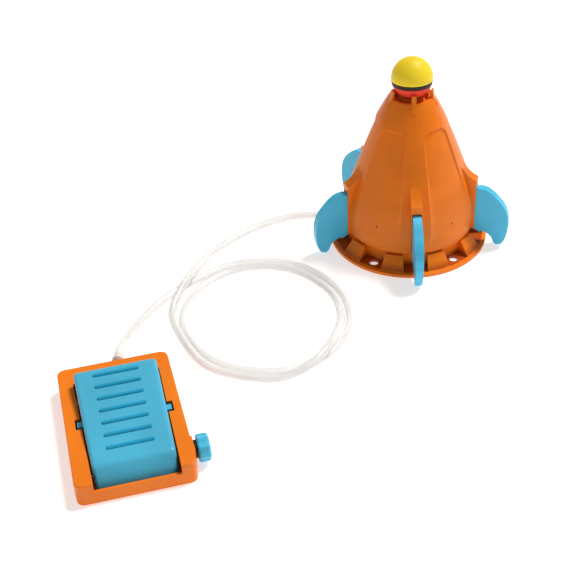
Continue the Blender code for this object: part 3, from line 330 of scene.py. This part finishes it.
class Nodes:
    """Short calls to build a material's node tree."""

    def __init__(self, name):
        self.mat = bpy.data.materials.new(name)
        self.mat.use_nodes = True
        self.tree = self.mat.node_tree
        self.shader = self.tree.nodes["Principled BSDF"]
        self.where = self.tree.nodes.new("ShaderNodeTexCoord").outputs["Object"]

    def link(self, a, b):
        self.tree.links.new(a, b)

    def noise(self, scale, detail=3.0, rough=0.5, stretch=None):
        source = self.where
        if stretch:
            mapping = self.tree.nodes.new("ShaderNodeMapping")
            mapping.inputs["Scale"].default_value = stretch
            self.link(source, mapping.inputs["Vector"])
            source = mapping.outputs["Vector"]
        node = self.tree.nodes.new("ShaderNodeTexNoise")
        node.inputs["Scale"].default_value = scale
        node.inputs["Detail"].default_value = detail
        node.inputs["Roughness"].default_value = rough
        self.link(source, node.inputs["Vector"])
        return node.outputs["Fac"]

    def math(self, operation, a, b=0.0):
        node = self.tree.nodes.new("ShaderNodeMath")
        node.operation = operation
        for slot, value in zip(node.inputs, (a, b)):
            if hasattr(value, "is_linked"):
                self.link(value, slot)
            else:
                slot.default_value = value
        return node.outputs[0]

    def pocket_shade_mask(self, low, high, radius):
        """Mask of the painted pocket shade: full up to the height `low`, none above `high` or past the
        radius.
        """
        split = self.tree.nodes.new("ShaderNodeSeparateXYZ")
        self.link(self.where, split.inputs[0])
        x, y, z = split.outputs
        squares = self.math("ADD", self.math("MULTIPLY", x, x), self.math("MULTIPLY", y, y))
        out = self.math("SQRT", squares)
        deep = self.spread(z, PAINTED_SHADE_SHARE, 0.0, low, high)
        return self.math("MULTIPLY", deep, self.math("LESS_THAN", out, radius))

    def pointiness(self):
        return self.tree.nodes.new("ShaderNodeNewGeometry").outputs["Pointiness"]

    def ramp(self, source, *stops):
        node = self.tree.nodes.new("ShaderNodeValToRGB")
        while len(node.color_ramp.elements) < len(stops):
            node.color_ramp.elements.new(0.5)
        for element, (place, rgba) in zip(node.color_ramp.elements, stops):
            element.position = place
            element.color = rgba if hasattr(rgba, "__len__") else (rgba, rgba, rgba, 1)
        self.link(source, node.inputs["Fac"])
        return node.outputs["Color"]

    def spread(self, source, low, high, frm=0.3, to=0.7):
        node = self.tree.nodes.new("ShaderNodeMapRange")
        for key, value in (("From Min", frm), ("From Max", to), ("To Min", low), ("To Max", high)):
            node.inputs[key].default_value = value
        self.link(source, node.inputs["Value"])
        return node.outputs["Result"]

    def mix(self, factor, a, b, blend="MIX"):
        node = self.tree.nodes.new("ShaderNodeMix")
        node.data_type = "RGBA"
        node.blend_type = blend
        for key, value in ((0, factor), (6, a), (7, b)):
            if hasattr(value, "is_linked"):
                self.link(value, node.inputs[key])
            else:
                node.inputs[key].default_value = value
        return node.outputs[2]

    def bump(self, source, strength, distance):
        node = self.tree.nodes.new("ShaderNodeBump")
        node.inputs["Strength"].default_value = strength
        node.inputs["Distance"].default_value = distance
        self.link(source, node.inputs["Height"])
        return node.outputs["Normal"]

    def set(self, **values):
        for key, value in values.items():
            slot = self.shader.inputs[key.replace("_", " ")]
            if hasattr(value, "is_linked"):
                self.link(value, slot)
            else:
                slot.default_value = value


def plastic(name, hex_code, rough=(0.3, 0.42), scuffs=0.5, shine=0.28, shade_zone=None):
    """Moulded plastic: cloudy colour, flow marks, fine grain, rubbed edges, light scuffs and, where a shade
    zone is given, painted shade in the pockets of the dish.
    """
    n = Nodes(name)
    cloud = n.ramp(n.noise(26.0, 2.0), (0.3, colour(hex_code, 0.93)), (0.7, colour(hex_code, 1.05)))
    flow = n.ramp(n.noise(9.0, 3.0, stretch=(1, 1, 7)), (0.4, 0.95), (0.75, 1))
    body = n.mix(1.0, cloud, flow, "MULTIPLY")
    edge = n.ramp(n.pointiness(), (0.52, 0.0), (0.62, 0.5))
    body = n.mix(edge, body, colour(hex_code, 1.15))
    # painted shade: dark red in the dish's pockets, standing in for the shade in them
    if shade_zone:
        body = n.mix(n.pocket_shade_mask(*shade_zone), body, colour(PAINTED_SHADE_COLOUR))
    marks = n.ramp(n.noise(60.0, 6.0, 0.75, stretch=(1, 5, 1)), (0.7, 0.0), (0.78, scuffs * 0.12))
    body = n.mix(marks, body, colour(hex_code, 1.5))
    n.set(Base_Color=body, Roughness=n.spread(n.noise(75.0, 5.0), *rough),
          Normal=n.bump(n.noise(1500.0, 2.0), 0.05, 0.0002), IOR=1.45,
          Specular_IOR_Level=shine)
    return n.mat


def rubber(name, hex_code):
    """Matt black rubber with dust on it."""
    n = Nodes(name)
    dust = n.ramp(n.noise(110.0, 5.0, 0.7), (0.5, colour(hex_code)), (0.85, colour(hex_code, 2.2)))
    n.set(Base_Color=dust, Roughness=n.spread(n.noise(300.0, 3.0), 0.5, 0.75),
          Normal=n.bump(n.noise(2200.0, 3.0), 0.2, 0.0003), IOR=1.5)
    return n.mat


def steel(name):
    """Zinc-plated steel with drawn streaks."""
    n = Nodes(name)
    brushed = n.noise(160.0, 4.0, stretch=(1, 1, 14))
    tone = n.ramp(brushed, (0.3, (0.5, 0.51, 0.53, 1)), (0.7, (0.74, 0.75, 0.77, 1)))
    n.set(Base_Color=tone, Metallic=1.0, Roughness=n.spread(brushed, 0.2, 0.42),
          Normal=n.bump(brushed, 0.12, 0.0002))
    return n.mat


def nylon(name, hex_code):
    """Natural nylon: cloudy and waxy, with some light scattered under its surface."""
    n = Nodes(name)
    tone = n.ramp(n.noise(40.0, 3.0), (0.3, colour(hex_code, 0.94)), (0.7, colour(hex_code, 1.03)))
    n.set(Base_Color=tone, Roughness=n.spread(n.noise(150.0, 4.0), 0.35, 0.55),
          Normal=n.bump(n.noise(1200.0, 2.0), 0.05, 0.0002), Subsurface_Weight=0.15,
          Subsurface_Scale=0.003)
    return n.mat


def vinyl(name):
    """Clear flexible hose: see-through face on, a faint haze, and painted shade: grey at its edges and a
    darker line where the bore's wall would show.
    """
    n = Nodes(name)
    facing = n.tree.nodes.new("ShaderNodeLayerWeight")
    facing.inputs["Blend"].default_value = 0.5
    edge = facing.outputs["Facing"]
    haze = n.ramp(n.noise(50.0, 2.0), (0.35, (0.94, 0.94, 0.935, 1)), (0.75, (1.0, 1.0, 0.995, 1)))
    # painted shade by viewing angle: a dark line for the bore's wall and grey towards the edges, standing in
    # for how the clear wall bends light
    painted_wall_shade = n.ramp(edge, (0.0, 0.96), (0.2, 0.95), (0.31, 0.78), (0.4, 0.97), (0.75, 0.92), (0.97, 0.6))
    n.set(Base_Color=n.mix(1.0, haze, painted_wall_shade, "MULTIPLY"), Alpha=n.spread(edge, 0.5, 0.8, 0.0, 0.9),
          Roughness=n.spread(n.noise(90.0, 2.0), 0.18, 0.26), IOR=1.45)
    return n.mat


# ---------------------------------------------------------------- pieces
def hose(mat):
    """The free hose, with a collar on each barb."""
    route = smooth_curve([tuple(c * MM for c in p) for p in HOSE_ROUTE], HOSE_STEPS)
    path = eased(resample(route, HOSE_RINGS), HOSE_EASING)
    bm = bmesh.new()
    rings = []
    side = (path[1] - path[0]).cross(UP).normalized()
    for k, p in enumerate(path):
        way = (path[min(k + 1, len(path) - 1)] - path[max(k - 1, 0)]).normalized()
        side = (side - way * side.dot(way)).normalized()
        rings.append(ring(bm, p, side, way.cross(side), HOSE_R, HOSE_SIDES))
    capped(bm, rings)
    obj = placed(new_object("hose_tube", bm, 50), mat, ROOT, "hose")
    collars = [collar("hose_collar_pump", path), collar("hose_collar_launcher", path[::-1])]


def collar(name, path):
    """A soft tapered sleeve over the hose's first centimetre, where it is pushed on its barb."""
    way = (path[COLLAR_AIM] - path[0]).normalized()
    side = way.cross(UP).normalized()
    up = way.cross(side)
    bm = bmesh.new()
    rings = [ring(bm, path[0] + way * along * MM, side, up, HOSE_R * share, COLLAR_SIDES)
             for along, share in COLLAR]
    skin(bm, rings + rings[:1])
    obj = placed(new_object(name, bm, 35), nylon(name + "_finish", "e4e2da"), ROOT)
    return obj


def fin(number, mat):
    """A fin with a finely curved outline and well rounded edges."""
    edge = [(p.x, p.y) for p in smooth_curve([(r, z, 0) for r, z in FIN_EDGE], FIN_STEPS)]
    outline = [(r * MM, z * MM) for r, z in edge + FIN_INNER]
    half = FIN_T / 2 * MM
    bm = bmesh.new()
    front = [bm.verts.new((r, -half, z)) for r, z in outline]
    back = [bm.verts.new((r, half, z)) for r, z in outline]
    bm.faces.new(front)
    bm.faces.new(back[::-1])
    for i in range(len(outline)):
        j = (i + 1) % len(outline)
        bm.faces.new((front[j], front[i], back[i], back[j]))
    rim = [e for e in bm.edges if abs(e.verts[0].co.y - e.verts[1].co.y) < half
           and max(v.co.x for v in e.verts) > FIN_ROOT_R * MM]
    bmesh.ops.bevel(bm, geom=rim, offset=FIN_ROUND * MM, segments=5, profile=0.5, affect="EDGES")
    for v in bm.verts:
        if v.co.x > FIN_ROOT_R * MM:
            share = min(1.0, max(0.0, (FIN_THIN_TOP - v.co.z) / FIN_THIN_OVER))
            v.co.y *= 1 - share * (1 - FIN_TIP_T / FIN_T)
    turn = Matrix.Rotation(math.radians(360 / SIDES * number - 90), 4, "Z")
    bmesh.ops.transform(bm, matrix=turn, verts=bm.verts)
    node = FIN_NODES[number]
    placed(new_object(node + "_shape", bm, 35), mat, ROOT, node)


def zone_rings(low, high):
    """(radius, latitude) rings of one zone of the ball, turned in at both ends."""
    radius = BALL_R * MM
    lips = [radius - 2 * BALL_LIP * MM, radius - BALL_LIP * MM]
    a0, a1 = math.asin(low / BALL_R), math.asin(high / BALL_R)
    steps = max(4, int(abs(a1 - a0) / math.radians(3)))
    inset = math.radians(0.7)
    span = [a0 + inset + (a1 - a0 - 2 * inset) * k / steps for k in range(steps + 1)]
    return [(r, a0) for r in lips] + [(radius, a) for a in span] + [(r, a1) for r in lips[::-1]]


def ball(finishes):
    """The two-tone ball as fine turned zones, with a shallow groove at each joint."""
    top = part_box("ball_upper")[1].z
    tilt = Matrix.Rotation(math.radians(BALL_TILT), 4, "X")
    place = Matrix.Translation((0, 0, top - BALL_R * MM)) @ tilt
    x, y = Vector((1, 0, 0)), Vector((0, 1, 0))
    for (name, node, low, high), mat in zip(BALL_ZONES, finishes):
        bm = bmesh.new()
        rings = [ring(bm, UP * r * math.sin(a), x, y, r * math.cos(a), BALL_SIDES)
                 for r, a in zone_rings(low, high)]
        capped(bm, rings)
        bmesh.ops.transform(bm, matrix=place, verts=bm.verts)
        placed(new_object(name, bm, 50), mat, "ball", node)


def yielding(node, mat):
    """The bellows or the spring (which shortens as the pedal goes down), softened and given a mesh of its
    own.
    """
    piece = softened(node, ROOT, mat, 0.1)
    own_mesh(piece)


def paint_rib_shade(pedal, mat):
    """The foot ribs' faces get a darker blue: painted shade for the shaded rounded sides of the real pedal's
    ribs.
    """
    pedal.data.materials.append(mat)
    turn = math.radians(PUMP_TURN)
    for face in pedal.data.polygons:
        x, y, z = (c / MM for c in face.center)
        along = -(x - PUMP_X) * math.sin(turn) + (y - PUMP_Y) * math.cos(turn)
        top = PEDAL_FAR_TOP + PEDAL_SLOPE * (along - PEDAL_FAR_Y)
        if z > top + RIB_FOOT and RIB_ZONE[0] < along < RIB_ZONE[1]:
            face.material_index = 1


def keep(node, mat):
    """A CAD node that stays as it is, with its finish."""
    data = nodes[node].data
    data.materials.clear()
    data.materials.append(mat)


def build():
    orange = plastic("orange_moulded", "f07c16")
    # the dish's base carries painted shade in its pockets
    orange_painted_shade = plastic("orange_base_painted_shade", "f07c16", shade_zone=PAINTED_SHADE_ZONE)
    blue = plastic("blue_moulded", "4cb4d6", rough=(0.2, 0.3), shine=0.5)
    # a darker blue painted on the ribs as shade for their rounded sides
    rib_shade_blue = plastic("blue_ribs_painted_shade", "1f9cc4", rough=(0.25, 0.35))
    fin_blue = plastic("blue_fins", "50c4ec", rough=(0.28, 0.38))
    yellow = plastic("yellow_ball", "ffdd2c", rough=(0.42, 0.52), scuffs=0.3)
    red = plastic("red_ball", "e8402c", rough=(0.3, 0.4), scuffs=0.3)
    belt = plastic("dark_belt", "2c221d", rough=(0.4, 0.55), scuffs=0.2)
    black = rubber("black_rubber_soft", "1d1a19")
    metal = steel("zinc_steel")
    # near-black finish on the steel hinge pin: painted shade for the dark hinge hole
    pin_painted_shade = rubber("pin_painted_shade", "2a2624")
    white = nylon("natural_nylon", "e6e2d8")
    clear = vinyl("clear_hose")

    hose(clear)
    ball((yellow, belt, red))
    radii = {"rocket_shell": (orange, 0.35), "launcher_base": (orange_painted_shade, 0.3),
             "pump_housing": (orange, 0.35), "ball_cup": (orange, 0.15), "pedal": (blue, 0.4),
             "air_knob": (fin_blue, 0.4)}
    for node, (mat, width) in radii.items():
        piece = softened(node, nodes[node]["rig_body"], mat, width)
        if node == "pedal":
            # painted shade on the pedal's ribs
            paint_rib_shade(piece, rib_shade_blue)
    yielding("bellows", black)
    yielding("return_spring", metal)
    for number in range(SIDES):
        fin(number, fin_blue)

    replaced = {"hose", "bellows", "return_spring", *radii, *FIN_NODES, *(z[1] for z in BALL_ZONES)}
    # the hinge pin's dark finish is painted shade; the pin itself is steel
    kept = {"pump_bottom_plate": orange, "hinge_pin": pin_painted_shade, "base_screw": metal, "plate_screw": metal,
            "valve_needle": metal, "nozzle_seal": black, "intake_flap": black, "check_disc": black,
            "knob_washer": black, "pump_foot": black, "bleed_tube": clear}
    for node in nodes:
        if node not in replaced:
            keep(node, next((mat for start, mat in kept.items() if node.startswith(start)), white))


bpy.context.scene.view_settings.view_transform = "Standard"
camera()
world(strength=0.3)
sun("key", azimuth=32, elevation=60, strength=2.9, angle=16, tint=(1.0, 0.98, 0.95))
floor()
build()
